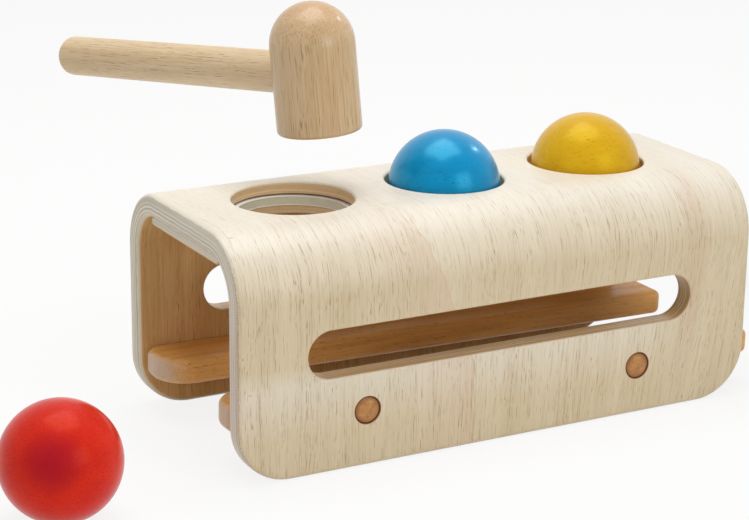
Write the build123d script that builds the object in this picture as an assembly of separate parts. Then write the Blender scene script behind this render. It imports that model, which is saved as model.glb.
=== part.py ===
"""A ball pounding bench: balls hit through rubber rings in its top land on two rails and roll out of it.

Sizes are in millimetres. +Z is up, +X runs along the bench to the right and +Y to its back.
The origin is on the floor, under the middle of the bench.
"""

import os
from math import atan2, cos, degrees, hypot, isclose, radians, sin, sqrt, tan

from build123d import *

os.makedirs("parts", exist_ok=True)

# Bench: one sheet of plywood, bent into a channel that is open underneath and at both ends
bench_length = 256.0
bench_width = 114.4
bench_height = 104.0
ply_thickness = 10.2
foot_corner_radius = 24.5  # lower corners of the walls, seen from the front
rim_rounding = 2.6
overrun = 5.0  # how far a cutting shape runs past what it cuts

# One long slot with round ends in each wall
slot_length = 192.0
slot_height = 21.0
slot_middle_height = 52.0
slot_rounding = 1.0

# Three round holes in the top, the middle one over the origin
hole_spacing = 75.0
hole_clearance = 1.5  # all round a ball
hole_land = 2.75  # flat wood between a hole and the start of the bends
hole_rounding = 1.5

# Turned wooden balls
ball_diameter = 50.0
ball_sink = 3.4  # a gripped ball's centre lies this far under the top face
red_ball_x = -202.5
red_ball_y = -51.8

# Rubber rings, each in a pocket on the underside of the top
ring_height = 4.2
ring_top_gap = 0.35  # between a ring and the top of its pocket
ring_grip = 0.5  # how much less than the ball's radius the bore's is, with no ball in it
ring_flange = 2.4  # hidden in the pocket, all round
ring_rounding = 0.4
ring_seat_gap = 0.1
grip_gap = 0.25  # between a gripped ball and its stretched ring

# Board glued under the top, which closes the ring pockets
retainer_thickness = 4.0
retainer_inset = 2.0  # short of the bench at each end
retainer_width = 68.0
retainer_rounding = 1.5  # of its lower long edges
retainer_side_gap = 0.3  # between the flat part of its top face and the start of the bends
retainer_edge_share = 0.6  # radius of its upper long edges, as a share of the bends' inner radius
ball_pass_gap = 0.9  # round a ball on its way through the board

# Two rails glued to the walls, a little lower at the right end
rail_overlap = 5.5  # how far each rail reaches in under a ball's widest part
rail_height = 11.5
rail_middle_height = 22.4  # at the middle of the bench
rail_left_inset = 1.1  # of the back rail's left end
rail_right_reach = 8.9  # how far the back rail stands out of the bench's right end
rail_stagger = 1.8  # how much further right the front rail sits
rail_rounding = 3.0
rail_nose_radius = 15.0  # inner corner at the left end, seen from above
rail_heel_radius = 9.0  # outer corner at the left end
rail_corner_radius = 4.0  # corners at the right end
landing_gap = 0.3

# Turned pegs, two through each wall into its rail
peg_spacing = 136.8
peg_fall = 2.2  # the right pegs sit this much lower than the left ones
peg_rise = 1.5  # above the rail's middle line
peg_diameter = 12.0
peg_crown = 0.9  # height of the domed end
peg_recess = 0.4  # depth of the dome's rim under the wall's face
peg_shank_diameter = 6.0
peg_shank_length = 16.0  # into the rail
peg_gap = 0.05

# Mallet: a turned head with a domed top and a barely tapered handle glued into its side
head_diameter = 37.0
head_length = 56.5
head_rim_rounding = 1.8
handle_diameter = 18.4  # at the head
handle_tip_diameter = 18.2
handle_reach = 161.6  # from the head's axis to the tip
handle_tip_rounding = 5.5
handle_height = 24.8  # its axis above the head's flat face
handle_seat_depth = 8.0  # how far the handle runs on past the head's axis
handle_glue_gap = 0.05
mallet_x = -59.0
mallet_y = 5.9
mallet_z = 130.1  # middle of the head's flat face
mallet_lean_left = 3.6  # degrees
mallet_lean_back = 4.3  # degrees
mallet_turn = 70.0  # degrees, from pointing left towards pointing back
stroke_gap = 0.5  # between the head and the bench when it strikes

ball_radius = ball_diameter / 2
hole_diameter = ball_diameter + 2 * hole_clearance
ring_bore = ball_diameter - 2 * ring_grip
ring_outer_diameter = hole_diameter + 2 * ring_flange
flat_half_width = hole_diameter / 2 + hole_land
bend_radius = bench_width / 2 - flat_half_width  # outside of the bends between the top and the walls
wall_inner_face = bench_width / 2 - ply_thickness
rail_gap = ball_diameter - 2 * rail_overlap
hole_places = [-hole_spacing, 0.0, hole_spacing]
underside_height = bench_height - ply_thickness
gripped_height = bench_height - ball_sink
rail_tilt = degrees(atan2(peg_fall, peg_spacing))
rail_width = wall_inner_face - rail_gap / 2


def rail_line_height(x):
    """Height of the rails' middle line at a place along the bench."""
    return rail_middle_height - x * tan(radians(rail_tilt))


def arch(width, height, radius):
    """A flat face that stands on its lower edge, with its two upper corners rounded."""
    face = Pos(0, height / 2) * Rectangle(width, height)
    return fillet(face.vertices().group_by(Axis.Y)[-1], radius)


def upright_cylinder(x, diameter, low, high):
    """A cylinder on a vertical axis in the bench's middle plane."""
    return Pos(x, 0, (low + high) / 2) * Cylinder(diameter / 2, high - low)


def round_edges(solid, radius):
    """The edges of a solid that are circles or arcs of one radius."""
    circles = solid.edges().filter_by(GeomType.CIRCLE)
    return circles.filter_by(lambda edge: isclose(edge.radius, radius))


def peg_hole_places():
    """Where the pegs' axes cross the walls: along the bench and up."""
    half = peg_spacing / 2
    return [(x, rail_line_height(x) + peg_rise) for x in (-half, half)]


def make_bench_body():
    """The bent channel with its slots, ball holes, ring pockets and peg holes."""
    outside = arch(bench_width, bench_height, bend_radius)
    inside = arch(bench_width - 2 * ply_thickness, underside_height, bend_radius - ply_thickness)
    channel = extrude(Plane.YZ * (outside - inside), bench_length / 2, both=True)
    side = Pos(0, bench_height / 2) * Rectangle(bench_length, bench_height)
    side = fillet(side.vertices().group_by(Axis.Y)[0], foot_corner_radius)
    body = channel & extrude(Plane.XZ * side, bench_width / 2 + overrun, both=True)

    rims = body.edges().group_by(Axis.X)[0] + body.edges().group_by(Axis.X)[-1]
    rims += body.edges().group_by(Axis.Z)[0]
    rims += round_edges(body, foot_corner_radius)
    rims = rims.filter_by(lambda edge: not isclose(edge.length, ply_thickness))
    body = fillet(rims, rim_rounding)

    slot = Pos(0, slot_middle_height) * SlotOverall(slot_length, slot_height)
    body -= extrude(Plane.XZ * slot, bench_width / 2 + overrun, both=True)
    slot_edges = body.edges().filter_by(Axis.Y, reverse=True)
    slot_edges = slot_edges.filter_by_position(Axis.X, -slot_length / 2, slot_length / 2)
    slot_low = slot_middle_height - slot_height / 2
    slot_edges = slot_edges.filter_by_position(Axis.Z, slot_low, slot_low + slot_height)
    body = fillet(slot_edges, slot_rounding)

    for x in hole_places:
        body -= upright_cylinder(x, hole_diameter, underside_height - overrun, bench_height + overrun)
        pocket_diameter = ring_outer_diameter + 2 * ring_seat_gap
        pocket_top = underside_height + ring_height + ring_top_gap
        body -= upright_cylinder(x, pocket_diameter, underside_height - overrun, pocket_top)
    hole_edges = round_edges(body, hole_diameter / 2)
    body = fillet(hole_edges.group_by(Axis.Z)[-1], hole_rounding)

    for x, height in peg_hole_places():
        across = Cylinder(peg_diameter / 2 + peg_gap, bench_width + 2 * overrun)
        body -= Pos(x, 0, height) * Rot(X=90) * across
    return body


def make_retainer_board():
    """The thin board under the top, with a hole under each of the top's holes."""
    middle = underside_height - retainer_thickness / 2
    face = Pos(0, middle) * Rectangle(retainer_width, retainer_thickness)
    face = fillet(face.vertices().group_by(Axis.Y)[0], retainer_rounding)
    edge_radius = (bend_radius - ply_thickness) * retainer_edge_share
    flat_width = 2 * (flat_half_width - retainer_side_gap)
    face &= arch(flat_width + 2 * edge_radius, underside_height, edge_radius)
    board = extrude(Plane.YZ * face, bench_length / 2 - retainer_inset, both=True)
    for x in hole_places:
        pass_diameter = ball_diameter + 2 * ball_pass_gap
        board -= upright_cylinder(x, pass_diameter, middle - retainer_thickness, middle + retainer_thickness)
    return board


def make_grip_ring(x, holds_ball):
    """A rubber ring in its pocket. A gripped ball stretches its bore to a cone along the ball's side."""
    top = underside_height + ring_height
    ring = upright_cylinder(x, ring_outer_diameter, underside_height, top)
    if not holds_ball:
        ring -= upright_cylinder(x, ring_bore, underside_height - overrun, top + overrun)
        return fillet(round_edges(ring, ring_bore / 2), ring_rounding)
    depth = gripped_height - underside_height - ring_height / 2
    beside_ball = sqrt(ball_radius**2 - depth**2)
    middle_radius = beside_ball + grip_gap * ball_radius / beside_ball
    spread = (ring_height / 2 + overrun) * depth / beside_ball
    cone = Cone(middle_radius - spread, middle_radius + spread, ring_height + 2 * overrun)
    return ring - Pos(x, 0, underside_height + ring_height / 2) * cone


def make_rail(side):
    """A rail against the wall on one side: -1 is the front and 1 the back."""
    shift = 0 if side > 0 else rail_stagger
    left = -bench_length / 2 + rail_left_inset + shift
    right = bench_length / 2 + rail_right_reach + shift
    plan = Pos((left + right) / 2, 0) * Rectangle(right - left, rail_width)
    plan = fillet(plan.vertices().group_by(Axis.X)[-1], rail_corner_radius)
    plan = fillet(plan.vertices().group_by(Axis.X)[0].sort_by(Axis.Y)[-1], rail_heel_radius)
    nose_radius = min(rail_nose_radius, rail_width - rail_heel_radius - rail_rounding)
    plan = fillet(plan.vertices().group_by(Axis.Y)[0].sort_by(Axis.X)[0], nose_radius)
    bar = extrude(plan, rail_height / 2, both=True)
    long_edges = bar.edges().group_by(Axis.Z)[0] + bar.edges().group_by(Axis.Z)[-1]
    bar = fillet(long_edges, rail_rounding)
    middle = rail_gap / 2 + rail_width / 2
    rail = Pos(0, middle, rail_middle_height) * Rot(Y=rail_tilt) * bar
    for x, height in peg_hole_places():
        shank_hole = Cylinder(peg_shank_diameter / 2 + peg_gap, 2 * (peg_shank_length + peg_gap))
        rail -= Pos(x, wall_inner_face, height) * Rot(X=90) * shank_hole
    return rail if side > 0 else mirror(rail, Plane.XZ)


def make_peg(side, x, height):
    """A turned peg: a head that fills the wall's hole, with a domed end, and a thinner shank in the rail."""
    head_end = ply_thickness - peg_recess
    outline = Polyline(
        (0, head_end + peg_crown),
        (0, -peg_shank_length),
        (peg_shank_diameter / 2, -peg_shank_length),
        (peg_shank_diameter / 2, 0),
        (peg_diameter / 2, 0),
        (peg_diameter / 2, head_end),
    )
    crown = TangentArc((0, head_end + peg_crown), (peg_diameter / 2, head_end), tangent=(1, 0))
    peg = revolve(Plane.XZ * make_face(outline + crown), Axis.Z)
    outwards = Plane((x, side * wall_inner_face, height), x_dir=(1, 0, 0), z_dir=(0, side, 0))
    return outwards * peg


def make_ball(x, y, height):
    """A turned ball."""
    return Pos(x, y, height) * Sphere(ball_radius)


def mallet_plane():
    """Where the mallet is held over the bench: local Z runs up its head and local X along its handle."""
    upward = Vector(-sin(radians(mallet_lean_left)), sin(radians(mallet_lean_back)), 1).normalized()
    backward = upward.cross(Vector(0, 1, 0).cross(upward)).normalized()
    leftward = upward.cross(backward)
    turn = radians(mallet_turn)
    handle_way = leftward * cos(turn) + backward * sin(turn)
    return Plane((mallet_x, mallet_y, mallet_z), x_dir=handle_way, z_dir=upward)


def make_mallet_head():
    """A turned cylinder with a half-round top, a softened striking rim and a blind hole for the handle."""
    radius = head_diameter / 2
    shoulder = head_length - radius
    outline = Polyline((0, head_length), (0, 0), (radius, 0), (radius, shoulder))
    dome = TangentArc((0, head_length), (radius, shoulder), tangent=(1, 0))
    head = revolve(Plane.XZ * make_face(outline + dome), Axis.Z)
    rim = head.edges().filter_by(GeomType.CIRCLE).group_by(Axis.Z)[0]
    head = fillet(rim, head_rim_rounding)
    bore_length = handle_seat_depth + handle_glue_gap + radius + overrun
    bore = Cylinder(handle_diameter / 2 + handle_glue_gap, bore_length)
    bore_middle = bore_length / 2 - handle_seat_depth - handle_glue_gap
    return head - Pos(bore_middle, 0, handle_height) * Rot(Y=90) * bore


def make_mallet_handle():
    """A turned handle: straight inside the head, then tapered to a rounded tip."""
    seat_length = handle_seat_depth + head_diameter / 2
    taper_length = handle_reach - head_diameter / 2
    seat = Pos(0, 0, (head_diameter / 2 - handle_seat_depth) / 2) * Cylinder(handle_diameter / 2, seat_length)
    taper = Cone(handle_diameter / 2, handle_tip_diameter / 2, taper_length)
    handle = seat + Pos(0, 0, head_diameter / 2 + taper_length / 2) * taper
    tip = handle.edges().filter_by(GeomType.CIRCLE).group_by(Axis.Z)[-1]
    handle = fillet(tip, handle_tip_rounding)
    return Pos(0, 0, handle_height) * Rot(Y=90) * handle


def landed_height(x):
    """Height of a ball's centre when it lies on the rounded inner edges of the rails."""
    edge_line = rail_line_height(x) + (rail_height / 2 - rail_rounding) / cos(radians(rail_tilt))
    across = rail_gap / 2 + rail_rounding
    above = sqrt((ball_radius + rail_rounding) ** 2 - across**2) / cos(radians(rail_tilt))
    return edge_line + above


parts = {
    "bench_body": make_bench_body(),
    "retainer_board": make_retainer_board(),
    "left_grip_ring": make_grip_ring(hole_places[0], holds_ball=False),
    "middle_grip_ring": make_grip_ring(hole_places[1], holds_ball=True),
    "right_grip_ring": make_grip_ring(hole_places[2], holds_ball=True),
    "front_rail": make_rail(-1),
    "back_rail": make_rail(1),
    "blue_ball": make_ball(hole_places[1], 0, gripped_height),
    "yellow_ball": make_ball(hole_places[2], 0, gripped_height),
    "red_ball": make_ball(red_ball_x, red_ball_y, ball_radius),
    "mallet_head": mallet_plane() * make_mallet_head(),
    "mallet_handle": mallet_plane() * make_mallet_handle(),
}
for side, side_name in ((-1, "front"), (1, "back")):
    for end_name, (x, height) in zip(("left", "right"), peg_hole_places()):
        parts[f"{side_name}_{end_name}_peg"] = make_peg(side, x, height)

for name, part in parts.items():
    export_step(part, f"parts/{name}.step")

drops = [gripped_height - landed_height(x) - landing_gap for x in hole_places[1:]]
print("ball drops:", [round(drop, 2) for drop in drops])
lean = hypot(sin(radians(mallet_lean_left)), sin(radians(mallet_lean_back)))
lowest_rim = mallet_z - head_diameter / 2 * lean / hypot(1, lean)
print("mallet stroke:", round(lowest_rim - bench_height - stroke_gap, 2))
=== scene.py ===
import math
from functools import partial

import bmesh
import bpy
from bpy.props import FloatProperty, FloatVectorProperty, PointerProperty
from mathutils import Matrix, Vector


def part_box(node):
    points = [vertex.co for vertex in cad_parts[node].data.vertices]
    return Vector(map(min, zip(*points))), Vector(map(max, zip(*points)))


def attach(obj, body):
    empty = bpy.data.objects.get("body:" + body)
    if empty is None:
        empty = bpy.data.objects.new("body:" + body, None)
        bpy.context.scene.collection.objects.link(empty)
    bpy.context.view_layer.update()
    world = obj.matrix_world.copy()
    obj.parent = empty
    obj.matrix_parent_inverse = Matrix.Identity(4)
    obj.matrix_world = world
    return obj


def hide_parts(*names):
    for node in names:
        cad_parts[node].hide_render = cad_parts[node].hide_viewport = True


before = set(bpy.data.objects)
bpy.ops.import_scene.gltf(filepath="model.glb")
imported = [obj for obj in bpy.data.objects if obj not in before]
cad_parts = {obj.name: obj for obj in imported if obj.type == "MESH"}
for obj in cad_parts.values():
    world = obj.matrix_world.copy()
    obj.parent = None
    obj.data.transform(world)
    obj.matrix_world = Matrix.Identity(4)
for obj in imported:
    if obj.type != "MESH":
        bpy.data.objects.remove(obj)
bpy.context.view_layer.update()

bl_info = {
    "name": "Ball pounding bench",
    "version": (1, 0, 0),
    "blender": (4, 5, 0),
    "location": "View3D > Sidebar > Pounding bench",
    "description": "A bent plywood bench with rubber-gripped balls, two rails and a turned mallet",
    "category": "Add Mesh",
}

MM = 0.001
IMAGE_WIDTH = 749
SENSOR_WIDTH_MM = 36.0
CLIP_NEAR, CLIP_FAR = 0.05, 50.0
BENCH_LOW, BENCH_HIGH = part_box("bench_body")

QUARTER_TURN = math.pi / 2
ROUNDING_STEPS = 6
CORNER_STEPS = 20
BEND_STEPS = 28
TURNED_STEPS = 128
DOME_STEPS = 32
PEG_STEPS = 64
SHANK_HOLE_STEPS = 32
QUARTERS = (0.25, 0.5, 0.75)
OVERRUN = 3.0 * MM
SAME_PLACE = 1e-5 * MM

BALL_NAMES = ("blue", "yellow", "red")
HOLE_SIDES = {"left": -1, "middle": 0, "right": 1}
WHITE = (1.0, 1.0, 1.0, 1.0)


def linear(hex_colour):
    """An sRGB colour such as "#F0E4C8" as linear red, green, blue and alpha."""
    values = [int(hex_colour[i : i + 2], 16) / 255 for i in (1, 3, 5)]
    values = [v / 12.92 if v <= 0.04045 else ((v + 0.055) / 1.055) ** 2.4 for v in values]
    return (*values, 1.0)


def properties(make, rows, convert, **shared):
    """Properties that a user may change, each named after its attribute, from its value and what it is."""
    made = {}
    for name, (value, words) in rows.items():
        label = name.replace("_", " ").capitalize()
        made[name] = make(name=label, description=words, default=convert(value), **shared)
    return made


def lengths_of(**rows):
    """Lengths, given in millimetres and kept in metres."""
    return properties(FloatProperty, rows, lambda mm: mm * MM, unit="LENGTH", subtype="DISTANCE")


def angles_of(**rows):
    """Angles, given in degrees and kept in radians."""
    return properties(FloatProperty, rows, math.radians, unit="ROTATION", subtype="ANGLE")


def colours_of(**rows):
    """Colours, given in sRGB and kept in linear light."""
    return properties(FloatVectorProperty, rows, linear, size=4, subtype="COLOR", min=0, max=1)


class BenchSizes(bpy.types.PropertyGroup):
    """Sizes of the bent plywood sheet and what is cut in it."""

    __annotations__ = lengths_of(
        length=((BENCH_HIGH.x - BENCH_LOW.x) / MM, "From end to end"),
        width=((BENCH_HIGH.y - BENCH_LOW.y) / MM, "From front to back"),
        height=((BENCH_HIGH.z - BENCH_LOW.z) / MM, "From the floor to the top"),
        thickness=(10.2, "Thickness of the plywood"),
        bend_radius=(27.95, "Outside radius of the two bends"),
        foot_radius=(24.5, "Corner radius of the feet, seen from the front"),
        rim=(2.6, "Rounding of the sheet's rims"),
        slot_length=(192.0, "Length of the slot in each wall"),
        slot_height=(21.0, "Height of the slot in each wall"),
        slot_middle=(52.0, "Height of the slots' middle line above the floor"),
        slot_rim=(1.0, "Rounding of the slots' edges"),
        hole_spacing=(75.0, "From one ball hole to the next"),
        hole_diameter=(53.0, "Diameter of the ball holes"),
        hole_rim=(1.5, "Rounding of the ball holes' upper edges"),
        pocket_diameter=(58.0, "Diameter of the pockets for the rubber rings"),
        pocket_depth=(4.55, "Depth of the pockets for the rubber rings"),
        peg_hole_diameter=(12.1, "Diameter of the holes for the pegs"),
        peg_hole_rim=(0.25, "Worn edge of the peg holes"),
    )


class RetainerSizes(bpy.types.PropertyGroup):
    """Sizes of the board that closes the ring pockets."""

    __annotations__ = lengths_of(
        length=(252.0, "From end to end"),
        width=(68.0, "From front to back"),
        flat_width=(57.9, "Width of the flat part of its top face"),
        thickness=(4.0, "Thickness of the board"),
        rim=(1.5, "Rounding of its lower long edges"),
        edge_radius=(10.65, "Rounding of its upper long edges, which clears the bends"),
        hole_diameter=(51.8, "Diameter of the holes that the balls pass through"),
    )


class RingSizes(bpy.types.PropertyGroup):
    """Sizes of the rubber rings."""

    __annotations__ = lengths_of(
        height=(4.2, "Height of a ring"),
        outer_diameter=(57.8, "Across the flange in its pocket"),
        bore=(49.0, "Bore of a ring with no ball in it"),
        stretched_bore=(49.617, "Bore at half height round a ball"),
        lip=(0.35, "Height of the lips at the bore's two edges"),
        hollow=(0.3, "How far the bore is hollowed between its lips"),
        rounding=(0.2, "Rounding of the lips"),
    )


class RailSizes(bpy.types.PropertyGroup):
    """Sizes of the two rails and the pegs that hold them."""

    __annotations__ = lengths_of(
        left_inset=(1.1, "How far the back rail stays inside the left end"),
        right_reach=(8.9, "How far the back rail stands out of the right end"),
        stagger=(1.8, "How much further right the front rail sits"),
        gap=(39.0, "Between the two rails"),
        height=(11.5, "Height of a rail"),
        middle=(22.4, "Height of a rail's middle at the bench's middle"),
        rounding=(3.0, "Rounding of the long edges"),
        nose_radius=(15.0, "Inner corner at the left end, seen from above"),
        heel_radius=(9.0, "Outer corner at the left end"),
        corner_radius=(4.0, "Corners at the right end"),
        peg_spacing=(136.8, "Between the two pegs of a rail"),
        peg_fall=(2.2, "How much lower the right pegs sit"),
        peg_rise=(1.5, "How far the pegs sit above a rail's middle line"),
        peg_diameter=(12.0, "Diameter of a peg's head"),
        peg_crown=(0.9, "Height of a peg's domed end"),
        peg_recess=(0.4, "Depth of the dome's rim under the wall's face"),
        peg_groove=(0.4, "Bevel round the dome, which leaves a fine groove in the wall"),
        shank_diameter=(6.0, "Diameter of a peg's shank in its rail"),
        shank_length=(16.0, "Length of a peg's shank in its rail"),
        fit_gap=(0.05, "All round a shank in its hole"),
    )


class BallSizes(bpy.types.PropertyGroup):
    """Sizes of the turned balls."""

    __annotations__ = lengths_of(
        diameter=(50.0, "Diameter of a ball"),
        pole_flat=(2.2, "Across the small flat where the lathe held a ball"),
    )


class MalletSizes(bpy.types.PropertyGroup):
    """Sizes and place of the mallet."""

    __annotations__ = lengths_of(
        head_diameter=(37.0, "Diameter of the head"),
        head_length=(56.5, "From the flat face to the top of the dome"),
        head_rim=(1.8, "Rounding of the flat face's rim"),
        handle_diameter=(18.4, "Diameter of the handle at the head"),
        tip_diameter=(18.2, "Diameter of the handle at its tip"),
        handle_reach=(161.6, "From the head's axis to the tip"),
        tip_rounding=(5.5, "Rounding of the tip"),
        handle_height=(24.8, "Its axis above the head's flat face"),
        seat_depth=(8.0, "How far the handle runs on past the head's axis"),
        glue_gap=(0.05, "Round the handle in its hole"),
        x=(-59.0, "Middle of the head's flat face, along the bench"),
        y=(5.9, "Middle of the head's flat face, towards the back"),
        z=(130.1, "Middle of the head's flat face, above the floor"),
    ) | angles_of(
        lean_left=(3.6, "How far the head leans to the left"),
        lean_back=(4.3, "How far the head leans to the back"),
        turn=(70.0, "From pointing left towards pointing back"),
    )


# What each wood is, and the colours of its light early wood, its dark late wood and its pores
WOODS = {
    # The paler top and darker walls are partly the veneer's own tone and partly painted shade on the walls
    "veneer": ("outer veneer on the top", "#F0E8D9", "#E9DFCC", "#94680A"),
    "wall": ("outer veneer on the walls", "#E2D2B1", "#D8C5A1"),
    # The inner veneer's warm brown is partly its own tone and partly painted shade, as it lies in shadow
    "lining": ("inner veneer", "#E6C288", "#D0A468", "#6A4824"),
    # The plies are cool grey at the ends and warm in the slots and holes: partly end grain against long
    # grain, and partly painted light, cool shade at the ends and warm bounce light inside
    "end": ("plies at the sheet's ends", "#E8E2CE", "#C0B59E"),
    "cut": ("plies in the slots and holes", "#FFEAC2", "#D2AA74"),
    "rail": ("rails", "#F6BE74", "#D69648", "#4A240A"),
    "peg": ("pegs", "#CC9450", "#A86C30", "#6E4624"),
    "head": ("mallet's head", "#DCC19A", "#C8A678", "#805208"),
    "handle": ("mallet's handle", "#E8D2AE", "#D6B88C", "#824A10"),
    "blue": ("blue ball", "#008CC4", "#0080B6", "#02304E"),
    "yellow": ("yellow ball", "#E0B022", "#D8A41E", "#8A5E10"),
    "red": ("red ball", "#E6341E", "#D0261E", "#6E100E"),
}
WOOD_PARTS = {"light": "Early wood", "dark": "Late wood", "pore": "Pores"}


def wood_rows():
    """A colour for each part of each wood, named by both."""
    rows = {}
    for wood, (place, *hex_colours) in WOODS.items():
        for (part, words), hex_colour in zip(WOOD_PARTS.items(), hex_colours):
            rows[f"{wood}_{part}"] = (hex_colour, f"{words} of the {place}")
    return rows


class WoodColours(bpy.types.PropertyGroup):
    """Colours of the woods, stains and rubber."""

    __annotations__ = colours_of(
        **wood_rows(),
        veneer_pink=("#D9B59C", "Pink heart streaks in the outer veneer"),
        rail_end=("#D0BCA8", "End grain of the rails"),
        peg_rim=("#8E5216", "Browned rim round a peg's dome"),
        head_end=("#CCA478", "End grain on the mallet's dome"),
        red_end=("#B0142A", "Red stain soaked into end grain"),
        rubber=("#E5E4CC", "The rings' natural rubber"),
        floor=("#F2F1EF", "The studio floor"),
    )


class ViewSettings(bpy.types.PropertyGroup):
    """The photograph's viewpoint."""

    __annotations__ = angles_of(
        azimuth=(28.629, "Turn of the view from straight ahead towards the right"),
        elevation=(16.93, "How far the view looks down"),
        roll=(0.631, "Turn of the picture in its own plane"),
    ) | lengths_of(
        distance=(969.79, "From the camera to the point it looks at"),
        target_x=(-34.8, "The point that the camera looks at, along the bench"),
        target_z=(70.52, "The point that the camera looks at, above the floor"),
    )
    __annotations__["focal_px"] = FloatProperty(
        name="Focal length", description="In pixels of the photograph", default=2197.7, subtype="PIXEL"
    )


class PoundingBenchSettings(bpy.types.PropertyGroup):
    """Everything that a user may change."""

    bench: PointerProperty(type=BenchSizes)
    retainer: PointerProperty(type=RetainerSizes)
    ring: PointerProperty(type=RingSizes)
    rail: PointerProperty(type=RailSizes)
    ball: PointerProperty(type=BallSizes)
    mallet: PointerProperty(type=MalletSizes)
    colours: PointerProperty(type=WoodColours)
    view: PointerProperty(type=ViewSettings)


# Meshes


def rounded_outline(low, high, radii, inset=0.0, steps=CORNER_STEPS):
    """Points round a rectangle with rounded corners, all its sides pulled in by inset.

    The four radii run counter-clockwise from the corner at low.
    """
    corners = [(low[0], low[1]), (high[0], low[1]), (high[0], high[1]), (low[0], high[1])]
    middle = ((low[0] + high[0]) / 2, (low[1] + high[1]) / 2)
    points = []
    for number, (corner, radius) in enumerate(zip(corners, radii)):
        centre = [c + math.copysign(radius, m - c) for c, m in zip(corner, middle)]
        for step in range(steps + 1):
            angle = QUARTER_TURN * (number + 2 + step / steps)
            point = Vector(centre) + (radius - inset) * Vector((math.cos(angle), math.sin(angle)))
            if not points or (point - points[-1]).length > SAME_PLACE:
                points.append(point)
    if (points[0] - points[-1]).length <= SAME_PLACE:
        points.pop()
    return points


def round_outline(centre, radius, inset=0.0, steps=CORNER_STEPS):
    """Points round a circle."""
    low = (centre[0] - radius, centre[1] - radius)
    high = (centre[0] + radius, centre[1] + radius)
    return rounded_outline(low, high, [radius] * 4, inset, steps)


def rounding(radius, depth=0.0, steps=ROUNDING_STEPS):
    """Inset and depth of points on a rounded edge, from the face inwards."""
    angles = [QUARTER_TURN * step / steps for step in range(steps + 1)]
    return [(radius * (1 - math.sin(a)), depth + radius * (1 - math.cos(a))) for a in angles]


def flare(radius, steps=ROUNDING_STEPS):
    """Inset and depth of a cutter that leaves a rounded edge and starts a little outside the face."""
    step_angle = QUARTER_TURN / steps
    start = (-radius * (1 + math.sin(step_angle)), -radius * (1 - math.cos(step_angle)))
    angles = [step_angle * step for step in range(1, steps + 1)]
    return [start] + [(-radius * (1 - math.sin(a)), radius * (1 - math.cos(a))) for a in angles]


def both_faces(profile, thickness):
    """A profile's upper half, and the same again upside down at the lower face."""
    return profile + [(inset, thickness - depth) for inset, depth in reversed(profile)]


def add_loft(bm, rings):
    """Skins closed rings of equally many points and closes both ends."""
    rows = [[bm.verts.new(point) for point in ring] for ring in rings]
    for upper, lower in zip(rows, rows[1:]):
        for i in range(len(upper)):
            j = (i + 1) % len(upper)
            bm.faces.new((upper[i], upper[j], lower[j], lower[i]))
    bm.faces.new(rows[0])
    bm.faces.new(rows[-1])


def add_plate(bm, outline, profile):
    """A flat plate or cutter: the outline gives points for an inset, the profile insets and depths."""
    add_loft(bm, [[(p.x, p.y, -depth) for p in outline(inset)] for inset, depth in profile])


def add_turned(bm, profile, closed=False, steps=TURNED_STEPS):
    """Turns a profile of radius and height round the Z axis into points. A closed profile makes a ring."""
    rows = []
    for radius, height in profile:
        if radius <= SAME_PLACE:
            rows.append([bm.verts.new((0, 0, height))])
            continue
        angles = [2 * math.pi * step / steps for step in range(steps)]
        rows.append([bm.verts.new((radius * math.cos(a), radius * math.sin(a), height)) for a in angles])
    pairs = list(zip(rows, rows[1:])) + ([(rows[-1], rows[0])] if closed else [])
    for lower, upper in pairs:
        for i in range(steps):
            j = (i + 1) % steps
            places = ((lower, i), (lower, j), (upper, j), (upper, i))
            corners = [row[place % len(row)] for row, place in places]
            bm.faces.new(list(dict.fromkeys(corners)))
    return [vertex for row in rows for vertex in row]


def arc(centre, radius, start, end, steps=ROUNDING_STEPS):
    """Points of an arc, with its angles in degrees."""
    angles = [math.radians(start + (end - start) * step / steps) for step in range(steps + 1)]
    return [(centre[0] + radius * math.cos(a), centre[1] + radius * math.sin(a)) for a in angles]


def new_piece(name, bm, place=None):
    """An object at the origin, with its place in its mesh and its faces outwards."""
    if place is not None:
        bm.transform(place)
    bmesh.ops.recalc_face_normals(bm, faces=bm.faces)
    mesh = bpy.data.meshes.new(name)
    bm.to_mesh(mesh)
    bm.free()
    piece = bpy.data.objects.new(name, mesh)
    bpy.context.scene.collection.objects.link(piece)
    return piece


def new_turned_piece(name, profile, place=None, closed=False, steps=TURNED_STEPS):
    """An object with a turned shape."""
    bm = bmesh.new()
    add_turned(bm, profile, closed, steps)
    return new_piece(name, bm, place)


def settle(piece):
    """Turns the piece's modifiers into a plain mesh."""
    bpy.context.view_layer.update()
    graph = bpy.context.evaluated_depsgraph_get()
    evaluated = piece.evaluated_get(graph)
    mesh = bpy.data.meshes.new_from_object(evaluated, preserve_all_data_layers=True, depsgraph=graph)
    piece.modifiers.clear()
    piece.data = mesh


def cut(piece, cutter):
    """Takes the cutter's shape out of the piece and removes the cutter."""
    modifier = piece.modifiers.new("cut", "BOOLEAN")
    modifier.operation = "DIFFERENCE"
    modifier.solver = "EXACT"
    modifier.object = cutter
    settle(piece)
    bpy.data.objects.remove(cutter)


def store(piece, name, kind, values):
    """Stores a number or a vector for each point of the piece as an attribute."""
    field = "vector" if kind == "FLOAT_VECTOR" else "value"
    piece.data.attributes.new(name, kind, "POINT").data.foreach_set(field, values)


def keep_grain(piece, place, grain_axis, shift=0.0):
    """Stores each point's place in the piece's own wood as the attribute grain, x along the grain.

    The attribute end_grain is 1 where the surface cuts straight across the grain and 0 where it follows it.
    """
    turn = Vector(grain_axis).rotation_difference(Vector((1, 0, 0))).to_matrix().to_4x4()
    to_wood = turn @ place.inverted()
    places, ends = [], []
    for vertex in piece.data.vertices:
        places.extend(to_wood @ vertex.co + Vector((shift, shift, shift)))
        ends.append((to_wood.to_3x3() @ vertex.normal).x ** 2)
    store(piece, "grain", "FLOAT_VECTOR", places)
    store(piece, "end_grain", "FLOAT", ends)


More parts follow.
